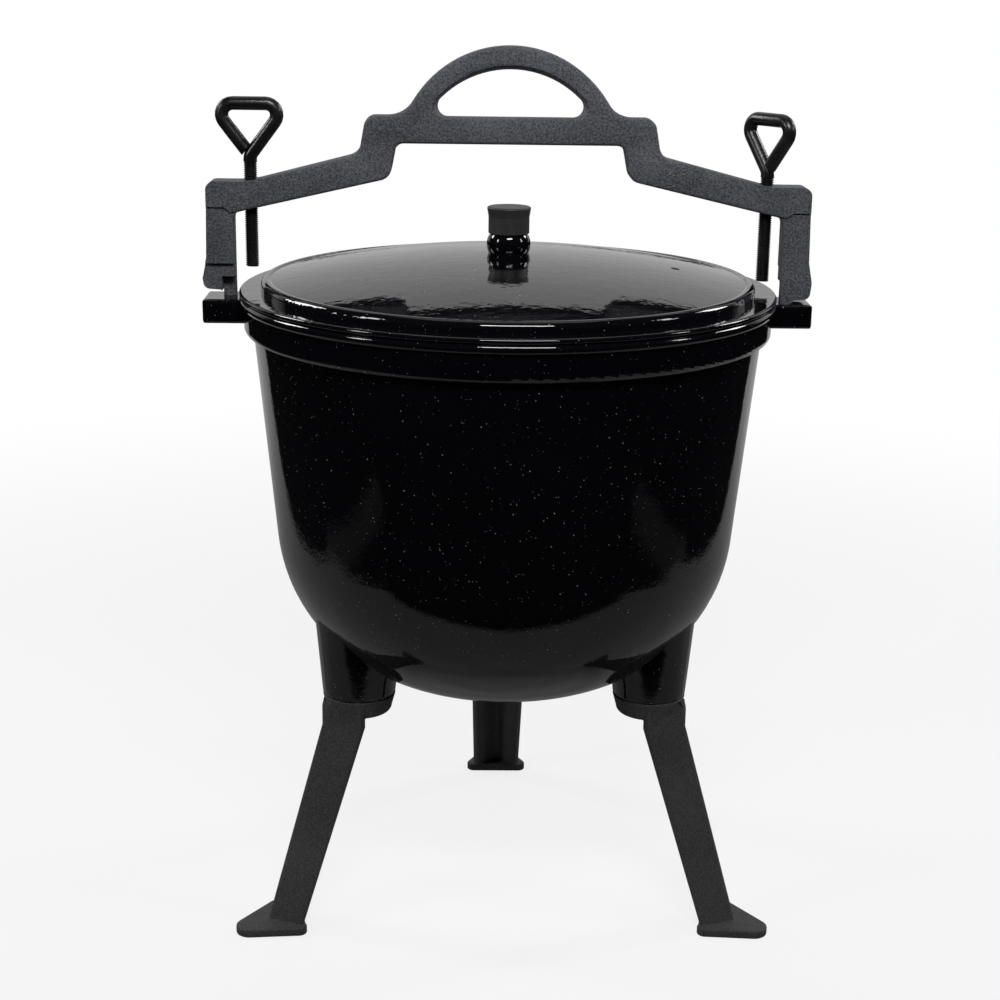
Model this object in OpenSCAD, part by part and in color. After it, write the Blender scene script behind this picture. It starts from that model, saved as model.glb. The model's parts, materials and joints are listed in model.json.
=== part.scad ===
// Cast iron cauldron on three screwed-in legs, with a domed lid under a clamp bow.
// The modules have the pot's axis on the Z axis, the ground at z = 0 and the front towards -Y.

/* [Pot rim] */
// Radius of the rim on which the lid lies
rim_r = 160; // [150:1:175]
// Height of the rim's top above the ground
rim_z = 379; // [365:1:410]
// Height of the rounded bead along the rim
bead_h = 6; // [5:0.5:8]
// How far the collar stands back from the bead
collar_step = 2.5; // [1:0.5:3]
// Height of the collar under the bead
collar_h = 16; // [14:1:24]
// Radius of the collar's rounded lower edge
collar_round = 4; // [2:0.5:5]
// How far the side wall stands back from the bead, just under the collar
body_step = 8; // [7:0.5:9]

/* [Pot body] */
// Thickness of the cast wall
wall = 5; // [4:0.5:6]
// Draft of the side wall in degrees
draft = 5.5; // [4:0.5:7]
// Outer radius of the round between side wall and bottom
knuckle_r = 102.7; // [90:0.1:115]
// Outer radius of the crowned bottom
crown_r = 490; // [420:10:600]
// Height of the bottom's lowest point above the ground
bowl_z = 136.3; // [130:0.1:145]

/* [Ears] */
// How far the ears stand out from the rim's bead
ear_reach = 21.6; // [20:0.1:26]
// Width of an ear along the rim
ear_w = 31.8; // [30:0.1:40]
// Height of an ear
ear_h = 14.4; // [12:0.1:16]
// How far an ear's top lies under the rim's top
ear_drop = 3.4; // [3:0.1:4]
// Radius of an ear's outer corners
ear_round = 4; // [2:0.5:6]
// Radius of an ear's lower and upper edges
ear_edge = 2.5; // [1:0.5:3]
// Thickness of the web over the hook's foot
web_t = 5.2; // [4:0.1:6]
// Clearance between hook and ear
hook_gap = 0.5; // [0.4:0.1:0.8]

/* [Leg sockets] */
// How far the leg sockets' centres lie inside the rim's bead
socket_inset = 58.2; // [54:0.1:62]
// Radius of a socket's lower end
socket_r = 22.1; // [20:0.1:24]
// Height of the sockets' lower faces above the ground
socket_z = 142.7; // [140:0.1:146]
// Draft of a socket in degrees
socket_draft = 5; // [1:0.5:6]
// Radius of the rounded edge of a socket's lower face
socket_round = 2; // [1:0.5:3]

/* [Lid] */
// Thickness of the lid's rim flange
flange_t = 3; // [2.5:0.5:4]
// Thickness of the lid's dome
lid_t = 4; // [3:0.5:5]
// How far the lid's shoulder stands back from the rim's bead
shoulder_step = 12.7; // [12.5:0.1:15]
// Radius of the round bead along the shoulder
shoulder_round = 4; // [3:0.5:4.5]
// Height of the shoulder over the flange's underside
shoulder_h = 9.6; // [8:0.1:12]
// Rise of the dome from the shoulder to its top
dome_rise = 15.6; // [10:0.1:25]
// Depth of the ring that centres the lid in the mouth
lip_h = 8; // [5:1:12]
// Thickness of that ring
lip_t = 4; // [3:0.5:5]
// Clearance between that ring and the mouth
lip_gap = 1.6; // [1:0.1:2]
// How far the dome's edge lies under the top of the shoulder's bead
dome_dip = 1; // [0.5:0.1:1.5]
// Height of the flat seat for the knob over the dome
seat_h = 0.6; // [0.3:0.1:1]
// How far that seat stands back from the knob's base
seat_step = 1; // [0.5:0.1:2]
// Radius of the steam vent
vent_r = 2.8; // [2:0.1:4]
// Distance of the vent from the lid's axis
vent_at = 99.5; // [60:0.5:120]
// Direction of the vent, in degrees from the right ear
vent_angle = -5; // [-30:1:30]

/* [Knob] */
// Radius of the grip's top
grip_top_r = 13.2; // [11:0.1:16]
// Radius of the grip's lower end
grip_low_r = 10.6; // [9:0.1:11]
// Height of the grip
grip_h = 15.5; // [10:0.5:20]
// Radius of the base at its widest
base_r = 13.1; // [12:0.1:15]
// Height of the base
base_h = 11.2; // [10:0.1:14]
// Height of the base's widest place
base_belly = 4.5; // [3:0.5:7]
// Radius of the base's curved flank
base_flank_r = 11; // [11:0.5:30]
// Radius of the knob screw's shank
knob_screw_r = 3; // [2.5:0.5:4]
// Length of screw inside the grip
knob_screw_in = 9; // [6:0.5:9]
// Thickness of the washer
washer_t = 1.5; // [1:0.5:2]
// Radius of the washer
washer_r = 8; // [7.5:0.5:10]

/* [Clamp bow] */
// Thickness of the bow's beam, front to back
beam_t = 18; // [16:0.5:20]
// Thickness of the hooked arms, front to back
arm_t = 15.5; // [14:0.5:16]
// Height of the bar's underside over the ears
bar_z = 91.6; // [80:0.1:100]
// Height of the bar's section
bar_h = 15.6; // [14:0.1:20]
// Half of the bar's width at its underside
bar_half = 66.5; // [60:0.5:70]
// Width of the step at each end of the bar
step_w = 18; // [16:0.5:20]
// Drop from the bar's underside to the beam's underside
step_drop = 20.3; // [15:0.1:22]
// Height of the beam's section beside the step
beam_h = 14.8; // [13:0.1:17]
// Height of the beam's section at the clamp screws
end_h = 16.2; // [15:0.1:18]
// Slope of the beam's underside, as fall over run
beam_slope = 0.22; // [0.1:0.01:0.25]
// Outer radius of the grip's arch
arch_r = 67; // [60:0.5:70]
// Rise of the arch over the bar's top
arch_rise = 40.4; // [35:0.1:45]
// Thickness of the arch at its top
arch_t = 13.4; // [12:0.1:15]
// Radius of the finger opening's arc
finger_r = 58; // [54:0.5:60]
// Radius of the finger opening's corners
finger_round = 6; // [4:0.5:8]
// Radius of the fillet where the arch meets the bar
arch_fillet = 17; // [10:0.5:20]
// Clearance between the bow's arms and the rim
arm_gap = 2.9; // [2:0.1:4.5]
// Width of a hook's shank
shank_w = 7.4; // [6.8:0.1:8]
// Thickness of a hook's shank, front to back
shank_t = 6; // [5:0.5:7]
// Width of the hook's neck inside the ear
neck_w = 5; // [4:0.1:6]
// Length of the foot that catches under the ear's web
foot_reach = 4.5; // [4:0.1:4.5]
// How far the foot lies over the ear's underside
foot_lift = 2.1; // [1:0.1:2.5]
// Width of an arm where it meets the beam
arm_w = 15.5; // [13:0.1:18]
// How far the left arm bulges out over its hook
left_bulge = 3.3; // [1:0.1:5]
// How far the right arm bulges out over its hook
right_bulge = 3; // [1:0.1:5]
// Height of the bulge over the ear
bulge_z = 12; // [11:0.5:14]
// Height of the left arm's nose over the ear
left_nose = 4.6; // [1:0.1:6]
// Height of the right arm's nose over the ear
right_nose = 1.4; // [1:0.1:6]
// Rise of the nose's underside towards its outer end
nose_rise = 0.8; // [0:0.1:2]
// Run of the step's sloping faces
step_lean = 4; // [3:0.5:6]
// Radius of the beam's rounded corners
beam_round = 5; // [4:0.5:6]
// Radius of the bar's upper outer corners
bar_round = 6.5; // [4:0.5:7]
// Radius of the steps' lower corners
step_round = 8; // [4:0.5:9]
// Radius of the fillets between the steps and the sloping beams
step_fillet = 9; // [4:0.5:10]
// Radius of the fillet between arm and beam
arm_fillet = 5; // [3:0.5:6]
// Height of the beam's end block over the arm
block_h = 14.9; // [13:0.1:16]
// Depth of the shallow step in the back of a hook
relief_t = 2.5; // [1:0.5:3]
// Height of that step's lower edge over the ear
relief_z = 12.4; // [10:0.1:14]
// Height of that step
relief_h = 8; // [4:0.5:10]

/* [Clamp screws] */
// Radius of the clamp screws' rod
rod_r = 4; // [3.5:0.1:4.5]
// Running clearance of a rod in its threaded hole
rod_gap = 0.08; // [0.05:0.01:0.1]
// Distance of the clamp screws inwards from the rim's bead
rod_inset = 7.4; // [7:0.1:8]
// Length of the straight rod, to the fork of its head
rod_len = 65.1; // [55:0.1:75]
// Height of the head over the fork
head_h = 30; // [26:0.5:34]
// Angle of the head's branches from the rod, in degrees
head_angle = 37; // [34:1:42]
// Bend radius of the wire, at its centre
bend_r = 6.5; // [6:0.1:7]
// Turn of the right head, in degrees
right_turn = 126; // [0:1:180]
// Gap between the left rod's end and the lid's flange
left_lift = 11.6; // [2:0.1:20]
// Gap between the right rod's end and the lid's flange
right_lift = 5.7; // [2:0.1:20]

/* [Legs] */
// Thickness of the leg's two flanges
leg_t = 6; // [5:0.5:7]
// Half of the angle between the flanges, in degrees
leg_half_angle = 49; // [45:1:55]
// Width of a flange at the hip
hip_flange = 26.5; // [22:0.1:28]
// Width of a flange at the foot
foot_flange = 22.2; // [18:0.1:24]
// How far the leg's ridge stands out from the socket's centre
hip_out = 25.8; // [24:0.1:26]
// How far the ridge stands outside the rim's bead at the ground
foot_spread = 7.2; // [0:0.1:20]
// Height of the bend between hip and splayed leg
bend_z = 125.5; // [120:0.5:128]
// Thickness of the round disc under the socket
disc_t = 11.7; // [10:0.1:14]
// Radius of the disc's lower face, over its rounded edge
disc_low_r = 19.8; // [18:0.1:22]
// Radius of the disc's rounded lower edge
disc_round = 3.5; // [2:0.5:5]
// Radius of the round along the leg's ridge
ridge_round = 3; // [2:0.5:5]
// Radius of the fillet inside the leg's angle
valley_round = 4; // [2:0.5:6]
// Radius of the rounded edges of the flanges
flange_round = 1.5; // [1:0.1:2]
// Half of the width of the notch between the leg's ridge and the socket
notch_half = 5; // [3:0.5:8]
// Depth of that notch
notch_drop = 6.5; // [4:0.5:8]
// Radius of the stud's shank
stud_r = 5; // [4:0.5:6]
// Depth of the stud's hole in the pot
stud_in_pot = 14; // [10:1:14]
// Depth of the stud's hole in the leg
stud_in_leg = 8; // [6:1:10]
// Clearance around the studs and the knob's screw
thread_gap = 0.1; // [0.05:0.05:0.3]

/* [Feet] */
// Thickness of a foot plate
plate_t = 5; // [4:0.5:7]
// Distance of the plate's inner edge behind the leg's ridge
plate_back = 19.8; // [19:0.1:24]
// Distance of the plate's tip before the leg's ridge
plate_tip = 18.5; // [15:0.1:24]
// Half of the plate's width
plate_half = 20.8; // [19:0.1:26]
// Radius of the plate's inner corners
plate_corner = 4.8; // [3:0.1:6]
// Radius of the plate's tip
plate_tip_r = 8.6; // [6:0.1:12]

/* [Hidden] */
$fn = 96;
// Sides of the pot's and the bow's large rounds, and of the shallow crowns of bowl and lid
wide_sides = 180;
crown_sides = 360;
enamel = [0.04, 0.04, 0.05];
raw_iron = [0.2, 0.2, 0.22];
steel = [0.25, 0.25, 0.26];
bakelite = [0.12, 0.12, 0.13];
// Cuts run this far past the faces they open
past = 1;
// Sides of the wire in a screw's head, and steps along each of its bends
wire_sides = 20;
bend_steps = 8;
// The wire is a hair thinner than the straight rod, so that it starts inside it
wire_r = rod_r - 0.02;
// Steps of each rounded corner in a leg's section
leg_steps = 4;
leg_angles = [90, 210, 330];

// Heights and radii of the pot
collar_r = rim_r - collar_step;
body_r = rim_r - body_step;
bead_z = rim_z - bead_h;
collar_z = bead_z - collar_h;
ear_z = rim_z - ear_drop;
ear_x = rim_r + ear_reach;
crown_z = bowl_z + crown_r;
crown_to_knuckle = crown_r - knuckle_r;
// Distance of the knuckle's centre from the axis, measured across the wall
knuckle_across = body_r * cos(draft) - collar_z * sin(draft) - knuckle_r;
// Angle at which the crown passes into the knuckle
knuckle_start = asin((knuckle_across + crown_z * sin(draft)) / crown_to_knuckle) - draft;
knuckle_x = crown_to_knuckle * sin(knuckle_start);
knuckle_z = crown_z - crown_to_knuckle * cos(knuckle_start);
mouth_r = bowl_wall_r(wall, rim_z);

// Heights and radii of the lid
flange_z = rim_z + flange_t;
shoulder_r = rim_r - shoulder_step - shoulder_round;
shoulder_z = rim_z + shoulder_h;
dome_edge_z = shoulder_z - dome_dip;
dome_top_z = dome_edge_z + dome_rise;
dome_r = (shoulder_r * shoulder_r + dome_rise * dome_rise) / (2 * dome_rise);
lip_r = mouth_r - lip_gap;
boss_z = dome_top_z + seat_h;
grip_z = boss_z + base_h;
seat_r = base_r - seat_step;
// Height of the flat seat under the dome, and of the washer's underside
inner_seat_z = dome_top_z - lid_t - seat_h;
washer_z = inner_seat_z - washer_t;

// Places of the legs, from the pot's axis
socket_at = rim_r - socket_inset;
hip_at = socket_at + hip_out;
foot_at = rim_r + foot_spread;
// The origin lies midway between the rim's front and the rear foot's tip
axis_y = (rim_r - foot_at - plate_tip) / 2;

// Places of the bow
hook_in = rim_r + arm_gap;
hook_out = hook_in + shank_w;
neck_x = hook_in + (shank_w - neck_w) / 2;
foot_t = ear_h - web_t - foot_lift - hook_gap;
arm_out = hook_in + arm_w;
rod_x = rim_r - rod_inset;
bar_top = bar_z + bar_h;
// Heights over the ears: the beam's underside beside the steps, the end blocks' tops and undersides
beam_low = bar_z - step_drop;
block_top = beam_under(rod_x) + end_h;
block_z = block_top - block_h;

// Radius of the bowl's drafted wall at a height, some way inside its outer surface
function bowl_wall_r(inset, z) = (knuckle_across + knuckle_r - inset + z * sin(draft)) / cos(draft);

// Height of the beam's sloping underside over the ears
function beam_under(x) = beam_low - beam_slope * (x - bar_half);

function unit(v) = v / norm(v);

function turned(v, a) = [v.x * cos(a) - v.y * sin(a), v.x * sin(a) + v.y * cos(a)];

// Points of the round at one corner of an outline
function corner_arc(before, at, after, r, steps = 8) =
    let (u = unit(before - at), w = unit(after - at),
        half = acos(u * w) / 2,
        centre = at + unit(u + w) * r / sin(half),
        start = at + u * r / tan(half) - centre,
        side = cross(u, w) > 0 ? -1 : 1,
        sweep = side * (180 - 2 * half))
    [for (i = [0:steps]) let (a = sweep * i / steps)
        centre + turned(start, a)];

// Closed outline whose corners, given as [x, y, radius], are rounded
function rounded(corners, steps = 8) =
    let (n = len(corners))
    [for (i = [0:n - 1])
        let (p = corners[i], q = corners[(i + n - 1) % n], s = corners[(i + 1) % n])
        each p[2] == 0 ? [[p.x, p.y]]
            : corner_arc([q.x, q.y], [p.x, p.y], [s.x, s.y], p[2], steps)];

// Point of a circle about c where the outer tangent from it to the circle about d touches
function tangent_point(c, rc, d, rd, side) =
    let (a = atan2(d.y - c.y, d.x - c.x) + side * acos((rc - rd) / norm(d - c)))
    c + rc * [cos(a), sin(a)];

// Flat-bottomed round bar with a rounded lower edge
module rounded_disc(r, h, edge) {
    rotate_extrude() {
        square([r - edge, h]);
        translate([0, edge]) square([r, h - edge]);
        translate([r - edge, edge]) circle(edge);
    }
}

// Half section of the bowl up to a height, some way inside its outer surface
module bowl_section(inset, top) {
    reach = 2 * knuckle_r;
    low = bowl_z - reach;
    knuckle = [knuckle_x, knuckle_z];
    wall_low = knuckle + (knuckle_r - inset) * [cos(draft), -sin(draft)];
    crown_end = knuckle + (knuckle_r - inset) * [sin(knuckle_start), -cos(knuckle_start)];
    intersection() {
        translate([0, crown_z]) circle(crown_r - inset, $fn = crown_sides);
        polygon([[0, knuckle_z], knuckle, [(crown_z - low) * tan(knuckle_start), low], [0, low]]);
    }
    intersection() {
        translate(knuckle) circle(knuckle_r - inset, $fn = wide_sides);
        polygon([knuckle, knuckle + reach * [sin(knuckle_start), -cos(knuckle_start)],
            knuckle + reach * [cos(draft), -sin(draft)]]);
    }
    polygon([[0, bowl_z + inset], crown_end, wall_low, [bowl_wall_r(inset, top), top], [0, top]]);
}

module collar_section() {
    translate([0, collar_z]) square([collar_r - collar_round, collar_h + bead_h]);
    translate([0, collar_z + collar_round]) square([collar_r, collar_h - collar_round]);
    translate([collar_r - collar_round, collar_z + collar_round]) circle(collar_round);
    translate([0, bead_z]) square([rim_r - bead_h / 2, bead_h]);
    translate([rim_r - bead_h / 2, bead_z + bead_h / 2]) circle(bead_h / 2);
}

// Block of one ear at the right side, without its slot: where its plan and its two side views meet
module ear_block() {
    low = ear_z - ear_h;
    half = ear_w / 2;
    intersection() {
        translate([0, 0, low]) linear_extrude(ear_h)
            polygon(rounded([[body_r, -half, 0], [ear_x, -half, ear_round], [ear_x, half, ear_round],
                [body_r, half, 0]]));
        rotate([90, 0, 0]) linear_extrude(ear_w + 2 * past, center = true)
            polygon(rounded([[body_r, low, 0], [ear_x, low, ear_edge], [ear_x, ear_z, ear_edge],
                [body_r, ear_z, 0]]));
        rotate([90, 0, 90]) linear_extrude(2 * ear_x)
            polygon(rounded([[-half, low, ear_edge], [half, low, ear_edge], [half, ear_z, ear_edge],
                [-half, ear_z, ear_edge]]));
    }
}

// Slot that the hook drops into, and the pocket under the web that its foot then turns into
module ear_slot() {
    slot_w = neck_w + 2 * hook_gap;
    slot_y = shank_t + 2 * hook_gap;
    translate([neck_x - hook_gap, -arm_t / 2 - hook_gap, ear_z - ear_h - past]) {
        translate([0, -foot_reach, 0]) cube([slot_w, foot_reach + slot_y, ear_h + 2 * past]);
        translate([0, slot_y - past, 0]) cube([slot_w, past + foot_reach, ear_h - web_t + past]);
    }
}

module socket() {
    h = knuckle_z - socket_z;
    translate([socket_at, 0, socket_z]) {
        rounded_disc(socket_r, socket_round * 2, socket_round);
        translate([0, 0, socket_round]) cylinder(h = h, r1 = socket_r, r2 = socket_r + h * tan(socket_draft));
    }
}

module pot() {
    color(enamel) difference() {
        union() {
            rotate_extrude($fn = wide_sides) {
                bowl_section(0, collar_z + collar_h / 2);
                collar_section();
            }
            for (turn = [0, 180]) rotate([0, 0, turn]) ear_block();
            for (a = leg_angles) rotate([0, 0, a]) socket();
        }
        rotate_extrude($fn = wide_sides) bowl_section(wall, rim_z + past);
        for (turn = [0, 180]) rotate([0, 0, turn]) ear_slot();
        for (a = leg_angles) rotate([0, 0, a])
            translate([socket_at, 0, socket_z - past])
                cylinder(h = stud_in_pot + past, r = stud_r + thread_gap);
    }
}

module lid_section() {
    edge = flange_t / 2;
    translate([0, rim_z]) square([rim_r - edge, flange_t]);
    translate([rim_r - edge, rim_z + edge]) circle(edge);
    translate([0, rim_z]) square([shoulder_r, dome_edge_z - rim_z]);
    translate([0, rim_z]) square([shoulder_r + shoulder_round, shoulder_h - shoulder_round]);
    translate([shoulder_r, shoulder_z - shoulder_round]) circle(shoulder_round);
    translate([0, rim_z - lip_h]) square([lip_r, lip_h]);
    dome_section(0, dome_edge_z);
    translate([0, dome_edge_z]) square([seat_r, boss_z - dome_edge_z]);
}

// Half section of the dome's cap above a height, some way inside its outer surface
module dome_section(inset, from) {
    intersection() {
        translate([0, dome_top_z - dome_r]) circle(dome_r - inset, $fn = crown_sides);
        translate([0, from]) square([shoulder_r, dome_rise + shoulder_h + lip_h]);
    }
}

module lid() {
    color(enamel) difference() {
        rotate_extrude($fn = wide_sides) difference() {
            lid_section();
            difference() {
                dome_section(lid_t, rim_z - lip_h - past);
                translate([lip_r - lip_t, rim_z - lip_h - 2 * past])
                    square([lip_t + rim_r, dome_top_z - rim_z]);
                translate([0, inner_seat_z]) square([seat_r, seat_h + lid_t]);
            }
        }
        rotate([0, 0, vent_angle]) translate([vent_at, 0, rim_z])
            cylinder(h = dome_rise + shoulder_h, r = vent_r);
        translate([0, 0, rim_z]) cylinder(h = boss_z - rim_z + past, r = knob_screw_r + thread_gap);
    }
}

module knob_base() {
    color(enamel) translate([0, 0, boss_z]) rotate_extrude()
        intersection() {
            translate([base_r - base_flank_r, base_belly]) circle(base_flank_r);
            translate([knob_screw_r + thread_gap, 0]) square([base_r, base_h]);
        }
}

module knob_grip() {
    edge = 1;
    slope = (grip_top_r - grip_low_r) / grip_h;
    color(bakelite) translate([0, 0, grip_z]) difference() {
        rotate_extrude() {
            polygon([[0, 0], [grip_low_r, 0], [grip_top_r - edge * slope, grip_h - edge],
                [0, grip_h - edge]]);
            square([grip_top_r - edge, grip_h]);
            translate([grip_top_r - edge * (1 + slope), grip_h - edge]) circle(edge);
        }
        translate([0, 0, -past]) cylinder(h = knob_screw_in + 2 * past, r = knob_screw_r + thread_gap);
    }
}

module knob_washer() {
    color(steel) translate([0, 0, washer_z]) difference() {
        cylinder(h = washer_t, r = washer_r);
        translate([0, 0, -past]) cylinder(h = washer_t + 2 * past, r = knob_screw_r + thread_gap);
    }
}

module knob_screw() {
    head_t = 4;
    head_r = 5;
    head_round = 1.5;
    slot_w = 1.4;
    color(steel) difference() {
        union() {
            translate([0, 0, washer_z - head_t]) rounded_disc(head_r, head_t, head_round);
            translate([0, 0, washer_z - past])
                cylinder(h = grip_z + knob_screw_in - washer_z + past, r = knob_screw_r);
        }
        translate([-head_r, -slot_w / 2, washer_z - head_t - past])
            cube([2 * head_r, slot_w, past + head_t / 2]);
    }
}

// Outline of the beam's right half, over the ears
module beam_outline() {
    step_out = bar_half + step_w;
    polygon(rounded([
        [0, bar_z, 0],
        [bar_half, bar_z, beam_round],
        [bar_half + step_lean, beam_low, step_round],
        [hook_in, beam_under(hook_in), 0],
        [hook_in + arm_fillet, block_z, 0],
        [arm_out, block_z, 0],
        [arm_out, block_top, beam_round],
        [rod_x, block_top, 8 * beam_round],
        [step_out + step_lean, beam_low + beam_h - step_lean * beam_slope, step_fillet],
        [step_out, bar_top, bar_round],
        [0, bar_top, 0]
    ]));
}

// Arch of the grip, with fillets down to the bar's top
module arch_outline() {
    centre_z = bar_top + arch_rise - arch_r;
    rise = bar_top - centre_z;
    fillet_x = sqrt(pow(arch_r + arch_fillet, 2) - pow(rise + arch_fillet, 2));
    touch = arch_r * unit([fillet_x, rise + arch_fillet]);
    intersection() {
        translate([0, centre_z]) circle(arch_r, $fn = wide_sides);
        translate([-arch_r, bar_top - past]) square([2 * arch_r, arch_rise + 2 * past]);
    }
    for (side = [0, 1]) mirror([side, 0]) difference() {
        polygon([[touch.x - past, bar_top - past], [fillet_x, bar_top - past], [fillet_x, bar_top],
            [touch.x, centre_z + touch.y], [touch.x - past, centre_z + touch.y]]);
        translate([fillet_x, bar_top + arch_fillet]) circle(arch_fillet);
    }
}

// Opening for the fingers, flat below and arched above
module finger_outline() {
    centre_z = bar_top + arch_rise - arch_t - finger_r;
    corner_z = bar_top + finger_round;
    corner_x = sqrt(pow(finger_r - finger_round, 2) - pow(corner_z - centre_z, 2));
    touch = finger_r * unit([corner_x, corner_z - centre_z]) + [0, centre_z];
    intersection() {
        translate([0, centre_z]) circle(finger_r, $fn = wide_sides);
        translate([-touch.x, touch.y]) square([2 * touch.x, arch_rise]);
    }
    polygon([[-corner_x, bar_top], [corner_x, bar_top], [corner_x, touch.y], [-corner_x, touch.y]]);
    for (side = [-1, 1]) intersection() {
        translate([side * corner_x, corner_z]) circle(finger_round);
        translate([side < 0 ? -touch.x - finger_round : corner_x, bar_top])
            square([finger_round + touch.x, touch.y - bar_top]);
    }
}

// Outline of an arm at the right side, from inside the beam's end down to the hook's nose
module arm_outline(bulge, nose) {
    corner_z = beam_under(hook_in);
    // Centre of the fillet, which touches the arm's inner face and the beam's sloping underside
    tilt = atan(beam_slope);
    fillet = [hook_in - arm_fillet, corner_z + arm_fillet * (beam_slope - 1 / cos(tilt))];
    touch = fillet + arm_fillet * [sin(tilt), cos(tilt)];
    polygon(rounded([
        [hook_in, 0, 0],
        [hook_out, 0, 0],
        [hook_out, nose, nose_rise],
        [arm_out + bulge - past, nose + nose_rise, beam_round - 1],
        [arm_out + bulge, bulge_z, beam_round],
        [arm_out + bulge * beam_slope, 2 * bulge_z, 2 * beam_round],
        [arm_out, block_z + past, 0],
        [hook_in, block_z + past, 0]
    ]));
    difference() {
        polygon([[hook_in + past, fillet.y], [hook_in + past, corner_z + past],
            [touch.x, touch.y + past], touch, [hook_in, fillet.y]]);
        translate(fillet) circle(arm_fillet);
    }
}

// Neck and foot of the right hook, inside the ear
module hook_foot() {
    translate([neck_x, -arm_t / 2, -web_t - hook_gap - foot_t])
        cube([neck_w, shank_t, web_t + hook_gap + foot_t + past]);
    translate([neck_x, shank_t - arm_t / 2 - hook_gap, -web_t - hook_gap - foot_t])
        cube([neck_w, foot_reach, foot_t]);
}

// Steps in the back of the right hook: one leaves its thin shank, a shallow one lies over its nose
module hook_relief() {
    inside = hook_in - past;
    outside = ear_x + left_bulge + right_bulge;
    translate([0, arm_t / 2 + past, 0]) rotate([90, 0, 0]) {
        linear_extrude(arm_t - shank_t + past)
            polygon([[inside, -past], [hook_out, -past], [hook_out, relief_z], [inside, relief_z]]);
        linear_extrude(relief_t + past)
            polygon([[inside, relief_z - past], [outside, relief_z], [outside, relief_z + relief_h],
                [inside, relief_z + relief_h]]);
    }
}

module clamp_bow() {
    color(raw_iron) translate([0, 0, ear_z]) difference() {
        union() {
            rotate([90, 0, 0]) {
                linear_extrude(beam_t, center = true) difference() {
                    union() {
                        for (side = [0, 1]) mirror([side, 0]) beam_outline();
                        arch_outline();
                    }
                    finger_outline();
                }
                linear_extrude(arm_t, center = true) {
                    arm_outline(right_bulge, right_nose);
                    mirror([1, 0]) arm_outline(left_bulge, left_nose);
                }
            }
            for (turn = [0, 180]) rotate([0, 0, turn]) hook_foot();
        }
        for (turn = [0, 180]) rotate([0, 0, turn]) {
            hook_relief();
            translate([rod_x, 0, 0]) cylinder(h = bar_z, r = rod_r + rod_gap);
        }
    }
}

// Straight distance that a bend takes up on each side of its corner
function bend_cut(u, w) = bend_r * tan(acos(u * w) / 2);

// Centreline of a wire along points of the XZ plane: pairs of a place and a direction
function wire_path(points) =
    let (last = len(points) - 1, ways = [for (i = [0:last - 1]) unit(points[i + 1] - points[i])])
    [
        [points[0], ways[0]],
        for (i = [1:last - 1])
            let (u = ways[i - 1], w = ways[i], side = sign(cross(u, w)),
                start = points[i] - u * bend_cut(u, w),
                centre = start + side * bend_r * [-u.y, u.x],
                turn = side * acos(u * w))
            for (k = [0:bend_steps]) let (a = turn * k / bend_steps)
                [centre + turned(start - centre, a), turned(u, a)],
        [points[last], ways[last - 1]]
    ];

// Ring of points around a wire, square to its direction
function wire_ring(at, way) =
    [for (i = [0:wire_sides - 1]) let (a = 360 * i / wire_sides)
        [at.x + wire_r * cos(a) * way.y, -wire_r * sin(a), at.y - wire_r * cos(a) * way.x]];

// Clamp screw bent from one rod, standing on the origin with its head in the XZ plane.
// The tail ends in a slanting cut along the other branch.
module clamp_screw() {
    fork = [0, rod_len];
    corner = head_h * tan(head_angle);
    // Gap between the tail's slanting end and the branch that it leans on
    tail_gap = 0.4;
    right = [corner, rod_len + head_h];
    left = [-corner, rod_len + head_h];
    tail_h = norm(left - fork) / 2;
    path = wire_path([fork - [0, 2 * rod_r], fork, right, left, (left + fork) / 2]);
    cylinder(h = rod_len - bend_cut([0, 1], unit(right - fork)), r = rod_r);
    loft([for (p = path) wire_ring(p[0], p[1])]);
    translate([0, 0, rod_len]) rotate([0, -head_angle, 0]) difference() {
        cylinder(h = tail_h + past, r = rod_r);
        rotate([0, 2 * head_angle, 0]) translate([-rod_r - tail_gap, -2 * rod_r, -2 * tail_h])
            cube([4 * rod_r, 4 * rod_r, 4 * tail_h]);
    }
}

module clamp_screw_left() {
    color(steel) translate([-rod_x, 0, flange_z + left_lift]) clamp_screw();
}

module clamp_screw_right() {
    color(steel) translate([rod_x, 0, flange_z + right_lift]) rotate([0, 0, right_turn]) clamp_screw();
}

// Angle section of a leg, with the ridge at a distance from the pot's axis
function leg_section(ridge, flange, z) =
    let (along = [-cos(leg_half_angle), sin(leg_half_angle)],
        inward = [-sin(leg_half_angle), -cos(leg_half_angle)],
        tip = [ridge, 0] + flange * along,
        heel = tip + leg_t * inward,
        valley = ridge - leg_t / sin(leg_half_angle),
        outline = rounded([
            [ridge, 0, ridge_round],
            [tip.x, -tip.y, flange_round],
            [heel.x, -heel.y, flange_round],
            [valley, 0, valley_round],
            [heel.x, heel.y, flange_round],
            [tip.x, tip.y, flange_round]
        ], leg_steps),
        n = len(outline))
    [for (i = [0:n - 1]) let (p = outline[(i + leg_steps / 2) % n]) [p.x, p.y, z]];

// Solid through a stack of closed outlines that have the same number of points.
// Each end is a fan of triangles from the outline's first point, which sees all the others.
module loft(rings) {
    n = len(rings[0]);
    m = len(rings);
    polyhedron(
        points = [for (ring = rings) each ring],
        faces = concat(
            [for (i = [1:n - 2]) [0, i + 1, i]],
            [for (k = [0:m - 2], i = [0:n - 1]) let (j = (i + 1) % n)
                each [[k * n + i, k * n + j, (k + 1) * n + j],
                    [k * n + i, (k + 1) * n + j, (k + 1) * n + i]]],
            [for (i = [1:n - 2]) [(m - 1) * n, (m - 1) * n + i, (m - 1) * n + i + 1]]
        )
    );
}

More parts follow.
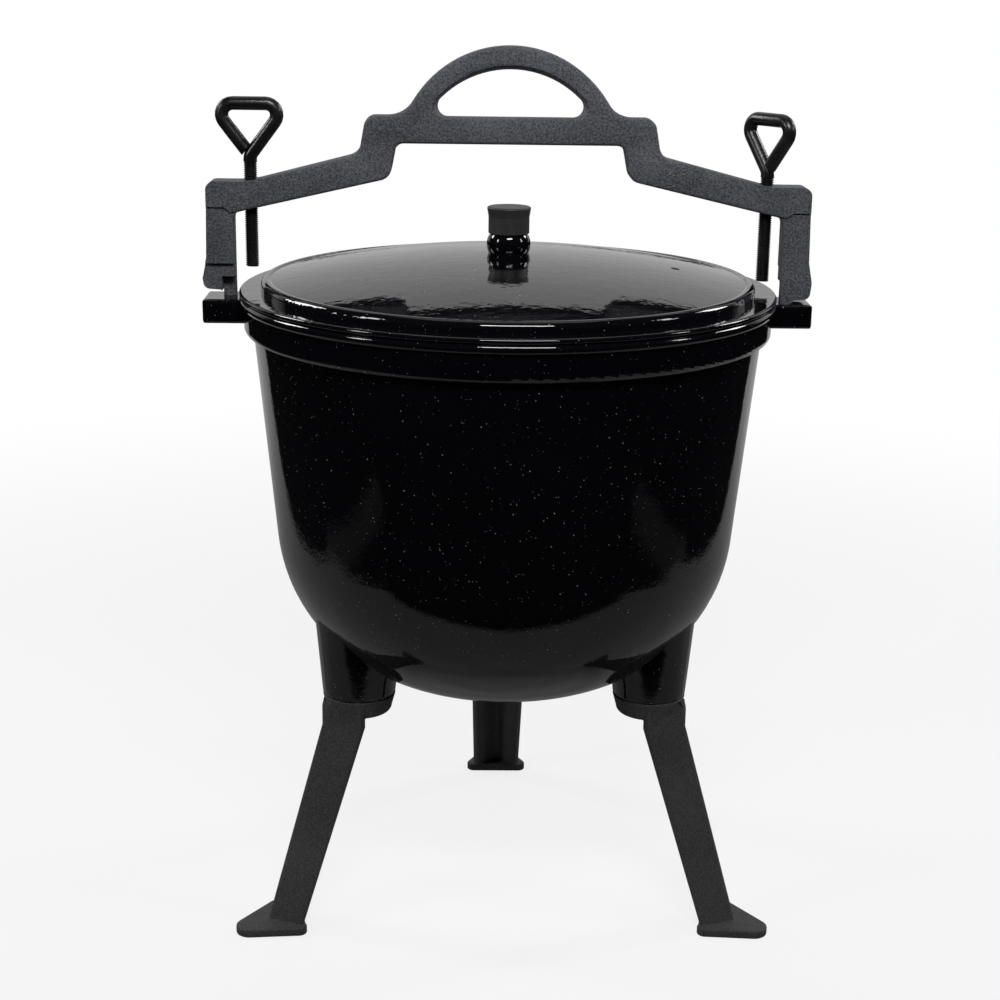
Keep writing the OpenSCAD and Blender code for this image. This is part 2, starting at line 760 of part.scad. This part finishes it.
module foot_plate() {
    corner = [foot_at - plate_back + plate_corner, plate_half - plate_corner];
    tip = [foot_at + plate_tip - plate_tip_r, 0];
    from = tangent_point(corner, plate_corner, tip, plate_tip_r, 1);
    to = tangent_point(tip, plate_tip_r, corner, plate_corner, -1);
    linear_extrude(plate_t) {
        polygon([from, to, [to.x, -to.y], [from.x, -from.y], [corner.x, -plate_half],
            [corner.x - plate_corner, -corner.y], [corner.x - plate_corner, corner.y],
            [corner.x, plate_half]]);
        translate(tip) circle(plate_tip_r);
        for (side = [-1, 1]) translate([corner.x, side * corner.y]) circle(plate_corner);
    }
}

// Leg in the XZ plane, under the socket on the X axis
module leg() {
    disc_z = socket_z - disc_t;
    // The lowest section ends inside the foot plate
    low = plate_t / 2;
    color(raw_iron) difference() {
        union() {
            translate([socket_at, 0, disc_z]) {
                rounded_disc(disc_low_r, 2 * disc_round, disc_round);
                translate([0, 0, disc_round])
                    cylinder(h = disc_t - disc_round, r1 = disc_low_r, r2 = socket_r);
            }
            loft([
                leg_section(foot_at - (foot_at - hip_at) * low / bend_z, foot_flange, low),
                leg_section(hip_at, hip_flange, bend_z),
                leg_section(hip_at, hip_flange, socket_z)
            ]);
            foot_plate();
        }
        difference() {
            translate([socket_at, 0, socket_z]) rotate([90, 0, 90]) linear_extrude(2 * hip_out)
                polygon([[-notch_half, past], [-notch_half, 0], [0, -notch_drop], [notch_half, 0],
                    [notch_half, past]]);
            translate([socket_at, 0, disc_z]) cylinder(h = disc_t + 2 * past, r = socket_r);
        }
        translate([socket_at, 0, socket_z - stud_in_leg])
            cylinder(h = stud_in_leg + past, r = stud_r + thread_gap);
    }
}

module leg_stud() {
    end_gap = 0.5;
    color(steel) translate([socket_at, 0, socket_z - stud_in_leg])
        cylinder(h = stud_in_pot + stud_in_leg - end_gap, r = stud_r);
}

module leg_rear() {
    rotate([0, 0, leg_angles[0]]) leg();
}

module leg_front_left() {
    rotate([0, 0, leg_angles[1]]) leg();
}

module leg_front_right() {
    rotate([0, 0, leg_angles[2]]) leg();
}

module leg_stud_rear() {
    rotate([0, 0, leg_angles[0]]) leg_stud();
}

module leg_stud_front_left() {
    rotate([0, 0, leg_angles[1]]) leg_stud();
}

module leg_stud_front_right() {
    rotate([0, 0, leg_angles[2]]) leg_stud();
}

// Moves a piece from the pot's axis to its place over the origin
module placed() {
    translate([0, axis_y, 0]) children();
}

placed() pot();
placed() lid();
placed() knob_base();
placed() knob_grip();
placed() knob_screw();
placed() knob_washer();
placed() clamp_bow();
placed() clamp_screw_left();
placed() clamp_screw_right();
placed() leg_rear();
placed() leg_front_left();
placed() leg_front_right();
placed() leg_stud_rear();
placed() leg_stud_front_left();
placed() leg_stud_front_right();
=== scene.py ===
import json
import math

import bpy
from mathutils import Matrix, Vector


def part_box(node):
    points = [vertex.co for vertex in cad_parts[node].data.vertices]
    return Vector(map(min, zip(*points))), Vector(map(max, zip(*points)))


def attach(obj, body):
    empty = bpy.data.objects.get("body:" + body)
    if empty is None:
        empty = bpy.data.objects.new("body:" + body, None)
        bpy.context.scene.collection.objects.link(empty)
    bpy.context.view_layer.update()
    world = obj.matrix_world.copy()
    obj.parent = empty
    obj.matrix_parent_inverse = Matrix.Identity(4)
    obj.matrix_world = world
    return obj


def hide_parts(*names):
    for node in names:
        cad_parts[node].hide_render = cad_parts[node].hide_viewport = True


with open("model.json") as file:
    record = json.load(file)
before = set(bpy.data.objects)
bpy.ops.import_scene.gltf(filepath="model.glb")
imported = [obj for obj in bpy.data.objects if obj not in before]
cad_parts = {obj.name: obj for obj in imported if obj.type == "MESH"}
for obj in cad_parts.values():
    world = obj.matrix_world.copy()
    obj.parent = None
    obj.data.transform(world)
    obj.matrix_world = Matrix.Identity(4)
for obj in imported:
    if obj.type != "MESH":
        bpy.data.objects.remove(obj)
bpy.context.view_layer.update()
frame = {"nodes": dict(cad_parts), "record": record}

# the pot stands a little in front of the origin
potAxis = sum(corner[1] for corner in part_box("lid")) / 2
print("frame loaded")

# Camera

view = {
    "distance": 1.11198,  # from the pot's axis, along the ground
    "height": 0.570247,
    "azimuth": 1.4554,  # degrees, as all angles here, from the front towards the left
    "pitch": 16.1034,
    "roll": 0.84,
    "yaw": 0.15,
    "lens": 67.199,
    "sensor": 36.0,
}


def addCamera():
    around, down, roll, yaw = (math.radians(view[turn]) for turn in ("azimuth", "pitch", "roll", "yaw"))
    out = view["distance"]
    place = Vector((-math.sin(around) * out, potAxis - math.cos(around) * out, view["height"]))
    ahead = Vector((math.sin(around) * math.cos(down), math.cos(around) * math.cos(down), -math.sin(down)))
    right = Vector((math.cos(around), -math.sin(around), 0))
    above = right.cross(ahead)
    rolledRight = math.cos(roll) * right + math.sin(roll) * above
    rolledAbove = math.cos(roll) * above - math.sin(roll) * right
    aimed = math.cos(yaw) * ahead - math.sin(yaw) * rolledRight
    side = math.cos(yaw) * rolledRight + math.sin(yaw) * ahead
    data = bpy.data.cameras.new("photoCamera")
    data.lens = view["lens"]
    data.sensor_width = view["sensor"]
    camera = bpy.data.objects.new("photoCamera", data)
    turned = Matrix((side, rolledAbove, -aimed)).transposed()
    camera.matrix_world = Matrix.Translation(place) @ turned.to_4x4()
    bpy.context.scene.collection.objects.link(camera)
    bpy.context.scene.camera = camera


addCamera()
print("camera placed")

# Shader maths as Python expressions


class Value:
    # a socket that can be used in an expression
    def __init__(self, shade, socket):
        self.shade = shade
        self.socket = socket

    def maths(self, operation, *terms):
        return self.shade.node("ShaderNodeMath", {"operation": operation}, dict(enumerate(terms)))

    def __add__(self, other):
        return self.maths("ADD", self, other)

    def __radd__(self, other):
        return self.maths("ADD", other, self)

    def __sub__(self, other):
        return self.maths("SUBTRACT", self, other)

    def __rsub__(self, other):
        return self.maths("SUBTRACT", other, self)

    def __mul__(self, other):
        return self.maths("MULTIPLY", self, other)

    def __rmul__(self, other):
        return self.maths("MULTIPLY", other, self)

    def __lt__(self, other):
        return self.maths("LESS_THAN", self, other)

    def __abs__(self):
        return self.maths("ABSOLUTE", self)

    def fade(self, low, high):
        # 0 at low, 1 at high, smooth between them
        return self.shade.node("ShaderNodeMapRange", {"interpolation_type": "SMOOTHSTEP"},
                               {"Value": self, "From Min": low, "From Max": high})

    def sibling(self, output):
        # another output of the same node
        return Value(self.shade, self.socket.node.outputs[output])


class Shade:
    # the nodes of one material, or of the world
    def __init__(self, owner):
        self.owner = owner
        owner.use_nodes = True
        self.tree = owner.node_tree

    def put(self, socket, value):
        if isinstance(value, Value):
            self.tree.links.new(value.socket, socket)
        else:
            socket.default_value = value

    def node(self, kind, settings=None, inputs=None, output=0):
        made = self.tree.nodes.new(kind)
        for setting, value in (settings or {}).items():
            setattr(made, setting, value)
        for socket, value in (inputs or {}).items():
            self.put(made.inputs[socket], value)
        return Value(self, made.outputs[output])

    def objectPlace(self):
        return self.node("ShaderNodeTexCoord", output="Object")

    def noise(self, place, size, detail=2.0, roughness=0.5):
        inputs = {"Vector": place, "Scale": 1 / size, "Detail": detail, "Roughness": roughness}
        return self.node("ShaderNodeTexNoise", None, inputs)

    def mixColour(self, factor, first, second):
        # the numbered sockets are those of the node's colour mode
        return self.node("ShaderNodeMix", {"data_type": "RGBA"}, {0: factor, 6: first, 7: second}, 2)

    def bump(self, height, depth, below=None):
        inputs = {"Height": height, "Distance": depth, "Strength": 1.0}
        if below is not None:
            inputs["Normal"] = below
        return self.node("ShaderNodeBump", None, inputs)


class Finish(Shade):
    # a material, from its surface shader's sockets
    def __init__(self, name):
        super().__init__(bpy.data.materials.new(name))
        self.surface = self.tree.nodes["Principled BSDF"]

    def feed(self, **sockets):
        for socket, value in sockets.items():
            self.put(self.surface.inputs[socket.replace("_", " ")], value)


def grey(level):
    return (level, level, level, 1.0)


def swinging(noise, look):
    # a noise's middle is one half, so the roughness swings about its own value
    return look["roughness"] + look["roughSwing"] * (noise - 0.5)


# Finishes

enamelLook = {
    "colour": (0.0033, 0.0031, 0.0048, 1.0),
    "darkColour": (0.00198, 0.00186, 0.00288, 1.0),
    "tintSize": 0.06,  # of the patches that pass from one colour to the other
    "roughness": 0.03,  # the least, and the swing comes on top of it
    "roughSwing": 0.03,
    "roughSize": 0.02,
    "gloss": 1.5,
    "speckCell": 0.0019,  # one speck at most in a cell of this size
    "speckRadius": 0.16,  # largest radius, as a share of the cell
    "speckShare": 0.75,  # share of the cells that hold one
    "faintSpeck": (0.035, 0.035, 0.042, 1.0),
    "speckColour": (0.5, 0.5, 0.53, 1.0),
    "bumpDetail": 1.0,
    "waveSize": 0.035,
    "waveDepth": 0.00025,
    "peelSize": 0.0065,
    "peelDepth": 0.00005,
    "fineSize": 0.0018,
    "fineDepth": 0.00003,
}


def enamelFinish(name, look):
    finish = Finish(name)
    place = finish.objectPlace()
    cells = {"Vector": place, "Scale": 1 / look["speckCell"]}
    distance = finish.node("ShaderNodeTexVoronoi", None, cells, "Distance")
    chance = finish.node("ShaderNodeSeparateColor", None, {"Color": distance.sibling("Color")}, "Red")
    radius = chance.sibling("Green") * look["speckRadius"]
    speck = (distance < radius) * (chance < look["speckShare"])
    brightness = chance.sibling("Blue") * chance.sibling("Blue")
    enamel = finish.mixColour(finish.noise(place, look["tintSize"]), look["colour"], look["darkColour"])
    fleck = finish.mixColour(brightness, look["faintSpeck"], look["speckColour"])
    normal = None
    for layer in ("wave", "peel", "fine"):
        height = finish.noise(place, look[layer + "Size"], look["bumpDetail"])
        normal = finish.bump(height, look[layer + "Depth"], normal)
    rough = look["roughness"] + look["roughSwing"] * finish.noise(place, look["roughSize"])
    finish.feed(Base_Color=finish.mixColour(speck, enamel, fleck), Roughness=rough, Normal=normal,
                IOR=look["gloss"])
    return finish.owner


ironLook = {
    "colour": (0.044, 0.045, 0.051, 1.0),
    "paleColour": (0.160, 0.165, 0.188, 1.0),
    "grainWeight": 0.9,
    "cloudWeight": 0.25,
    "paleFrom": 0.38,  # of the weighed sum, where the pale colour begins
    "paleTo": 0.82,
    "roughness": 0.6,
    "roughSwing": 0.18,
    "shine": 0.25,
    "cloudSize": 0.03,
    "detail": 3.0,
    "grainRoughness": 0.6,
    "grainSize": 0.0012,
    "grainDepth": 0.0006,
    "pitSize": 0.006,
    "pitDepth": 0.0004,
}
# painted shade: the legs get a darker copy of the same iron, for the less light that falls on them low down,
# and a quieter grain
shadedLegLook = {
    **ironLook,
    "colour": (0.041, 0.0412, 0.0435, 1.0),
    "paleColour": (0.084, 0.0843, 0.089, 1.0),
    "grainDepth": 0.0004,
}


def ironFinish(name, look):
    finish = Finish(name)
    place = finish.objectPlace()
    grain = finish.noise(place, look["grainSize"], look["detail"], look["grainRoughness"])
    cloud = finish.noise(place, look["cloudSize"], look["detail"])
    pale = (grain * look["grainWeight"] + cloud * look["cloudWeight"]).fade(look["paleFrom"], look["paleTo"])
    pits = finish.bump(finish.noise(place, look["pitSize"]), look["pitDepth"])
    finish.feed(Base_Color=finish.mixColour(pale, look["colour"], look["paleColour"]),
                Roughness=swinging(cloud, look), Normal=finish.bump(grain, look["grainDepth"], pits),
                Specular_IOR_Level=look["shine"])
    return finish.owner


rodLook = {
    "colour": (0.006, 0.006, 0.007, 1.0),
    "paleColour": grey(0.012),
    "paleFrom": 0.35,
    "paleTo": 0.75,
    "roughness": 0.3,
    "roughSwing": 0.2,
    "gloss": 1.5,
    "cloudSize": 0.012,
    "grainSize": 0.002,
    "grainDepth": 0.00008,
}


def rodFinish(name, look):
    finish = Finish(name)
    place = finish.objectPlace()
    grain = finish.noise(place, look["grainSize"])
    cloud = finish.noise(place, look["cloudSize"])
    pale = cloud.fade(look["paleFrom"], look["paleTo"])
    finish.feed(Base_Color=finish.mixColour(pale, look["colour"], look["paleColour"]),
                Roughness=swinging(cloud, look), Normal=finish.bump(grain, look["grainDepth"]),
                IOR=look["gloss"])
    return finish.owner


gripLook = {
    "colour": (0.020, 0.020, 0.022, 1.0),
    "paleColour": grey(0.032),
    "roughness": 0.48,
    "roughSwing": 0.15,
    "gloss": 1.5,
    "cloudSize": 0.008,
    "grainSize": 0.0006,
    "grainDepth": 0.00012,
}


def gripFinish(name, look):
    finish = Finish(name)
    place = finish.objectPlace()
    grain = finish.noise(place, look["grainSize"])
    cloud = finish.noise(place, look["cloudSize"])
    finish.feed(Base_Color=finish.mixColour(cloud, look["colour"], look["paleColour"]),
                Roughness=swinging(cloud, look), Normal=finish.bump(grain, look["grainDepth"]),
                IOR=look["gloss"])
    return finish.owner


steelLook = {
    "colour": (0.32, 0.32, 0.33, 1.0),
    "darkColour": grey(0.22),
    "roughness": 0.35,
    "roughSwing": 0.15,
    "lineSize": 0.004,
    "squeezed": (1, 1, 12),  # the noise is this much finer along each axis
    "lineDepth": 0.00005,
}


def steelFinish(name, look):
    finish = Finish(name)
    squeezed = finish.node("ShaderNodeVectorMath", {"operation": "MULTIPLY"},
                           {0: finish.objectPlace(), 1: look["squeezed"]})
    lines = finish.noise(squeezed, look["lineSize"])
    finish.feed(Base_Color=finish.mixColour(lines, look["colour"], look["darkColour"]), Metallic=1.0,
                Roughness=swinging(lines, look), Normal=finish.bump(lines, look["lineDepth"]))
    return finish.owner


# one for each material slot of the record, and a second, darker iron for the legs that paints the shade on
# them
finishes = {
    "enamel": enamelFinish("speckledEnamel", enamelLook),
    "lid_enamel": enamelFinish("lidEnamel", {**enamelLook, "peelDepth": 0.00012}),
    "knob_enamel": enamelFinish("knobEnamel", {**enamelLook, "speckShare": 0.12, "peelDepth": 0.00003}),
    "knob_plastic": gripFinish("gripMoulding", gripLook),
    "screw_steel": steelFinish("plainSteel", steelLook),
    "black_steel": rodFinish("blackRod", rodLook),
    "raw_iron": ironFinish("sandCastIron", ironLook),
}
legIron = ironFinish("legIron", shadedLegLook)

for part in frame["record"]["subparts"]:
    for slot in frame["nodes"][part["node"]].material_slots:
        slot.material = finishes[part["material_slot"]]
print("finishes made")

# What both kinds of new pieces need

meshing = {
    "merge": 0.00001,
    "flat": 2,  # degrees, under which neighbouring faces are dissolved into one
    "crease": 35,  # degrees, over which an edge stays sharp
    "segments": 3,  # of a rounded edge
}


def activate(piece):
    bpy.ops.object.select_all(action="DESELECT")
    piece.select_set(True)
    bpy.context.view_layer.objects.active = piece


def copyOf(node, name):
    piece = bpy.data.objects.new(name, frame["nodes"][node].data.copy())
    bpy.context.scene.collection.objects.link(piece)
    activate(piece)
    bpy.ops.mesh.customdata_custom_splitnormals_clear()
    bpy.ops.object.mode_set(mode="EDIT")
    bpy.ops.mesh.select_all(action="SELECT")
    bpy.ops.mesh.remove_doubles(threshold=meshing["merge"])
    bpy.ops.mesh.dissolve_limited(angle_limit=math.radians(meshing["flat"]))
    bpy.ops.mesh.normals_make_consistent(inside=False)
    bpy.ops.object.mode_set(mode="OBJECT")
    return piece


def smooth():
    bpy.ops.object.shade_smooth_by_angle(angle=math.radians(meshing["crease"]))


def giveFinish(piece, finish):
    piece.data.materials.clear()
    piece.data.materials.append(finish)


# Castings with rounded edges

castings = {
    "castBow": {"node": "clamp_bow", "round": 0.002, "finish": finishes["raw_iron"]},
    # the legs take the darker iron, which paints the shade that falls on them
    "castLegRear": {"node": "leg_rear", "round": 0.0008, "finish": legIron},
    "castLegLeft": {"node": "leg_front_left", "round": 0.0008, "finish": legIron},
    "castLegRight": {"node": "leg_front_right", "round": 0.0008, "finish": legIron},
}
bow = {
    "roundedTo": 0.132,  # the end blocks, arms and hooks keep the edges they have
    "openingLow": 0.482,
    "openingReach": (0.0455, 0.0305),  # an oval around the finger opening's edges
    "openingClear": 0.003,  # points nearer to the middle of the bow's thickness stay in place
    "openingDraft": (1.055, 1.12),  # how much it widens and heightens to the faces
    "openingMiddle": 0.4898,  # the height that it heightens from
    "openingRound": 0.001,
    "drawnInTo": 0.5,  # height that places are drawn in to before they are looked for in the oval
    "drawnInBy": 0.97,  # share of their distance from it that is left
}


def aroundOpening(place):
    wide, tall = bow["openingReach"]
    up = place.z - bow["openingLow"]
    return up > 0 and math.hypot(place.x / wide, up / tall) < 1


def draftOpening(piece):
    # the opening widens from the middle of the bow's thickness to both faces
    bpy.ops.object.mode_set(mode="EDIT")
    bpy.ops.mesh.select_all(action="SELECT")
    bpy.ops.mesh.bisect(plane_co=(0, potAxis, 0), plane_no=(0, 1, 0))
    bpy.ops.mesh.select_all(action="DESELECT")
    bpy.ops.object.mode_set(mode="OBJECT")
    for vertex in piece.data.vertices:
        vertex.select = abs(vertex.co.y - potAxis) > bow["openingClear"] and aroundOpening(vertex.co)
    bpy.ops.object.mode_set(mode="EDIT")
    wide, tall = bow["openingDraft"]
    bpy.ops.transform.resize(value=(wide, 1, tall), center_override=(0, potAxis, bow["openingMiddle"]))
    bpy.ops.object.mode_set(mode="OBJECT")


def roundingAt(casting, place):
    if casting["node"] == "clamp_bow":
        if abs(place.x) > bow["roundedTo"]:
            return 0
        # the draft has moved the opening's edges outwards
        drawnIn = Vector((0, 0, bow["drawnInTo"])).lerp(place, bow["drawnInBy"])
        if aroundOpening(drawnIn):
            return bow["openingRound"]
    return casting["round"]


def sharpEdges(mesh):
    # each sharp edge, with the middle of its length
    normals = {}
    for face in mesh.polygons:
        for key in face.edge_keys:
            normals.setdefault(key, []).append(face.normal)
    for edge in mesh.edges:
        beside = normals.get(edge.key, [])
        if len(beside) == 2 and beside[0].angle(beside[1]) > math.radians(meshing["crease"]):
            first, second = (mesh.vertices[index].co for index in edge.vertices)
            yield edge, (first + second) / 2


def addCasting(name, casting):
    piece = copyOf(casting["node"], name)
    if casting["node"] == "clamp_bow":
        draftOpening(piece)
    weights = piece.data.attributes.new("bevel_weight_edge", "FLOAT", "EDGE")
    for edge, middle in sharpEdges(piece.data):
        weights.data[edge.index].value = roundingAt(casting, middle) / casting["round"]
    bevel = piece.modifiers.new("edges", "BEVEL")
    bevel.width = casting["round"]
    bevel.segments = meshing["segments"]
    bevel.limit_method = "WEIGHT"
    bevel.use_clamp_overlap = False
    bpy.ops.object.modifier_apply(modifier=bevel.name)
    smooth()
    giveFinish(piece, casting["finish"])
    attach(piece, "root")
    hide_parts(casting["node"])


for castingName, castingSizes in castings.items():
    addCasting(castingName, castingSizes)
print("castings rounded")

# Clamp screws with threads

# across is the rod's place along X
screws = {
    "leftScrew": {"node": "clamp_screw_left", "body": "screw_left", "across": -0.1526},
    "rightScrew": {"node": "clamp_screw_right", "body": "screw_right", "across": 0.1526},
}
thread = {
    "pitch": 0.00125,
    "flank": 0.42,  # share of the pitch that each side of a tooth takes
    "root": 0.00325,  # radius between the teeth
    "crest": 0.00398,  # radius over them
    "length": 0.0615,  # from the rod's end up
    "overlap": 0.0004,  # how far the thread runs on inside the plain shank
    "startBelow": 1.5,  # pitches below the rod's end, so that the cut there is through whole teeth
    "spareTurns": 4,
    "steps": 20,  # around the rod
    "tailReach": 0.0006,  # brings the bent tail's end against the shank
}


def cutAt(height, keepBelow):
    # closes the cut and keeps what is below it, or above it
    bpy.ops.mesh.select_all(action="SELECT")
    bpy.ops.mesh.bisect(plane_co=(0, 0, height), plane_no=(0, 0, 1), use_fill=True,
                        clear_inner=not keepBelow, clear_outer=keepBelow)


def addHead(name, screw, top):
    # the CAD node from the thread's top up, where the bent tail ends in the largest face
    head = copyOf(screw["node"], name)
    tail = max((face for face in head.data.polygons if face.center.z > top), key=lambda face: face.area)
    for index in tail.vertices:
        head.data.vertices[index].co += thread["tailReach"] * tail.normal
    bpy.ops.object.mode_set(mode="EDIT")
    cutAt(top, keepBelow=False)
    bpy.ops.object.mode_set(mode="OBJECT")
    smooth()
    giveFinish(head, finishes["black_steel"])
    return head


def addThread(screw, low, top):
    # one tooth, drawn from a plane that is merged into a point, and wound around the rod's axis
    pitch = thread["pitch"]
    rise = thread["flank"] * pitch
    tooth = thread["crest"] - thread["root"]
    bpy.ops.mesh.primitive_plane_add(size=0.001, location=(screw["across"], potAxis, 0))
    rod = bpy.context.active_object
    bpy.ops.object.mode_set(mode="EDIT")
    bpy.ops.mesh.select_all(action="SELECT")
    bpy.ops.mesh.merge(type="CENTER")
    bpy.ops.transform.translate(value=(thread["root"], 0, low - thread["startBelow"] * pitch))
    for step in ((tooth, 0, rise), (0, 0, pitch - 2 * rise), (-tooth, 0, rise)):
        bpy.ops.mesh.extrude_region_move(TRANSFORM_OT_translate={"value": step})
    bpy.ops.object.mode_set(mode="OBJECT")
    wind = rod.modifiers.new("wind", "SCREW")
    wind.steps = wind.render_steps = thread["steps"]
    wind.screw_offset = pitch
    wind.iterations = math.ceil(thread["length"] / pitch) + thread["spareTurns"]
    wind.use_merge_vertices = True
    wind.merge_threshold = meshing["merge"]
    bpy.ops.object.modifier_apply(modifier=wind.name)
    bpy.ops.object.transform_apply(location=True)
    bpy.ops.object.mode_set(mode="EDIT")
    bpy.ops.mesh.select_all(action="SELECT")
    bpy.ops.mesh.remove_doubles(threshold=meshing["merge"])
    cutAt(low, keepBelow=False)
    cutAt(top + thread["overlap"], keepBelow=True)
    bpy.ops.mesh.select_all(action="SELECT")
    bpy.ops.mesh.normals_make_consistent(inside=False)
    bpy.ops.object.mode_set(mode="OBJECT")
    smooth()
    giveFinish(rod, finishes["black_steel"])


def addScrew(name, screw):
    low = min(corner[2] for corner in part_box(screw["node"]))
    top = low + thread["length"]
    piece = addHead(name, screw, top)
    addThread(screw, low, top)
    # the thread is still selected, and joins the head
    piece.select_set(True)
    bpy.context.view_layer.objects.active = piece
    bpy.ops.object.join()
    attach(piece, screw["body"])
    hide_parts(screw["node"])


for screwName, screwSizes in screws.items():
    addScrew(screwName, screwSizes)
print("screws threaded")

# Studio

studio = {
    "floorSize": 60.0,
    "floorColour": 0.84,
    "floorLift": 0.8,  # share of plain white in the floor that the camera sees
    "sheetColour": 0.34,  # of the sheet under the pot, which only the other rays see
    "sheetHalf": 0.62,
    "sheetFlare": 0.4,  # the sheet widens by this much over the metre past flareFrom
    "flareFrom": 0.3,
    "sheetFront": 0.305,  # how far it reaches in front of the pot's axis
    "cornerSlope": 0.65,  # its front corners are cut off along this slope
    "cornerAt": 0.66,
    "curlHalf": 0.68,  # a dimmer curl past its front half
    "curlFront": 0.4,
    "curlLevel": 0.25,
    "edge": 0.02,  # half the width over which each of them ends
    "darkFloor": 0.012,  # what lies past them
    "whiteFrom": 0.6,  # the floor passes into white between these distances
    "whiteTo": 1.4,
    "whiteMirrored": 0.5,  # that white, as the enamel mirrors it
    "airBehind": 0.66,
    "airFront": 0.02,
    "backdropFrom": 0.5,  # directions from here to there pass from dark air to the backdrop
    "backdropTo": 0.7,
}


def past(distance, limit):
    # 0 before the limit and 1 past it, with a soft edge
    return distance.fade(limit - studio["edge"], limit + studio["edge"])


def sheetMask(across, along):
    flare = studio["sheetFlare"] * (along - studio["flareFrom"]).fade(0.0, 1.0)
    corners = 1 - past(across - studio["cornerSlope"] * along, studio["cornerAt"])
    sides = 1 - past(across - flare, studio["sheetHalf"])
    sheet = corners * sides * past(along, potAxis - studio["sheetFront"])
    curl = past(along, potAxis - studio["curlFront"]) * (1 - past(across, studio["curlHalf"]))
    outer = past(across, studio["sheetHalf"] - 2 * studio["edge"]) * (along < 0)
    return sheet + (1 - sheet) * curl * outer * studio["curlLevel"]


def floorFinish():
    finish = Finish("paleFloor")
    place = finish.objectPlace()
    across = finish.node("ShaderNodeSeparateXYZ", None, {0: place}, "X")
    away = finish.node("ShaderNodeVectorMath", {"operation": "LENGTH"}, {0: place}, "Value")
    camera = finish.node("ShaderNodeLightPath", output="Is Camera Ray")
    sheet = sheetMask(abs(across), across.sibling("Y"))
    mirrored = finish.mixColour(sheet, grey(studio["darkFloor"]), grey(studio["sheetColour"]))
    colour = finish.mixColour(camera, mirrored, grey(studio["floorColour"]))
    finish.feed(Base_Color=colour, Roughness=1.0, Specular_IOR_Level=0.0)
    glow = finish.mixColour(camera, grey(studio["whiteMirrored"]), grey(1.0))
    white = finish.node("ShaderNodeEmission", None, {"Color": glow, "Strength": 1.0})
    lift = studio["floorLift"] * camera
    whiteShare = camera + camera.sibling("Is Glossy Ray") * sheet
    share = lift + (whiteShare - lift) * away.fade(studio["whiteFrom"], studio["whiteTo"])
    matt = Value(finish, finish.surface.outputs[0])
    mixed = finish.node("ShaderNodeMixShader", None, {0: share, 1: matt, 2: white})
    finish.put(finish.tree.nodes["Material Output"].inputs["Surface"], mixed)
    return finish.owner


def addFloor():
    bpy.ops.mesh.primitive_plane_add(size=studio["floorSize"], location=(0, 0, 0))
    floor = bpy.context.active_object
    floor.name = "floor"
    giveFinish(floor, floorFinish())


def addAir():
    world = bpy.data.worlds.new("studioAir")
    bpy.context.scene.world = world
    shade = Shade(world)
    direction = shade.node("ShaderNodeTexCoord", output="Generated")
    along = shade.node("ShaderNodeSeparateXYZ", None, {0: direction}, "Y")
    camera = shade.node("ShaderNodeLightPath", output="Is Camera Ray")
    behind = along.fade(studio["backdropFrom"], studio["backdropTo"])
    level = studio["airFront"] + (studio["airBehind"] - studio["airFront"]) * behind
    shade.put(shade.tree.nodes["Background"].inputs["Color"], shade.mixColour(camera, level, grey(1.0)))


# each lamp's place and aim are from the pot's axis
lamps = {
    "lampLeft": {"at": (-1.75, 0.75, 1.4), "size": (0.4, 0.6), "watts": 12, "aim": 0.3},
    "lampRight": {"at": (1.75, 0.85, 1.4), "size": (0.4, 0.6), "watts": 12, "aim": 0.3},
    "lampLeftLow": {"at": (-1.35, -0.65, 1.0), "size": (0.2, 0.4), "watts": 4, "aim": 0.3},
    "lampRightLow": {"at": (1.45, -0.4, 1.0), "size": (0.2, 0.4), "watts": 3, "aim": 0.3},
    "lampFront": {"at": (0.05, -0.8, 1.1), "size": (0.5, 0.2), "watts": 8, "aim": 0.95},
    "lampTop": {"at": (0.0, 0.6, 2.6), "size": (1.6, 1.2), "watts": 4, "aim": 0.3},
}


def addLamp(name, lamp):
    data = bpy.data.lights.new(name, "AREA")
    data.shape = "RECTANGLE"
    data.size, data.size_y = lamp["size"]
    data.energy = lamp["watts"]
    light = bpy.data.objects.new(name, data)
    light.location = Vector(lamp["at"]) + Vector((0, potAxis, 0))
    aim = Vector((0, potAxis, lamp["aim"]))
    light.rotation_euler = (aim - light.location).to_track_quat("-Z", "Y").to_euler()
    bpy.context.scene.collection.objects.link(light)


addFloor()
addAir()
for lampName, lampSizes in lamps.items():
    addLamp(lampName, lampSizes)
bpy.context.scene.view_settings.view_transform = "Standard"
print("studio set")
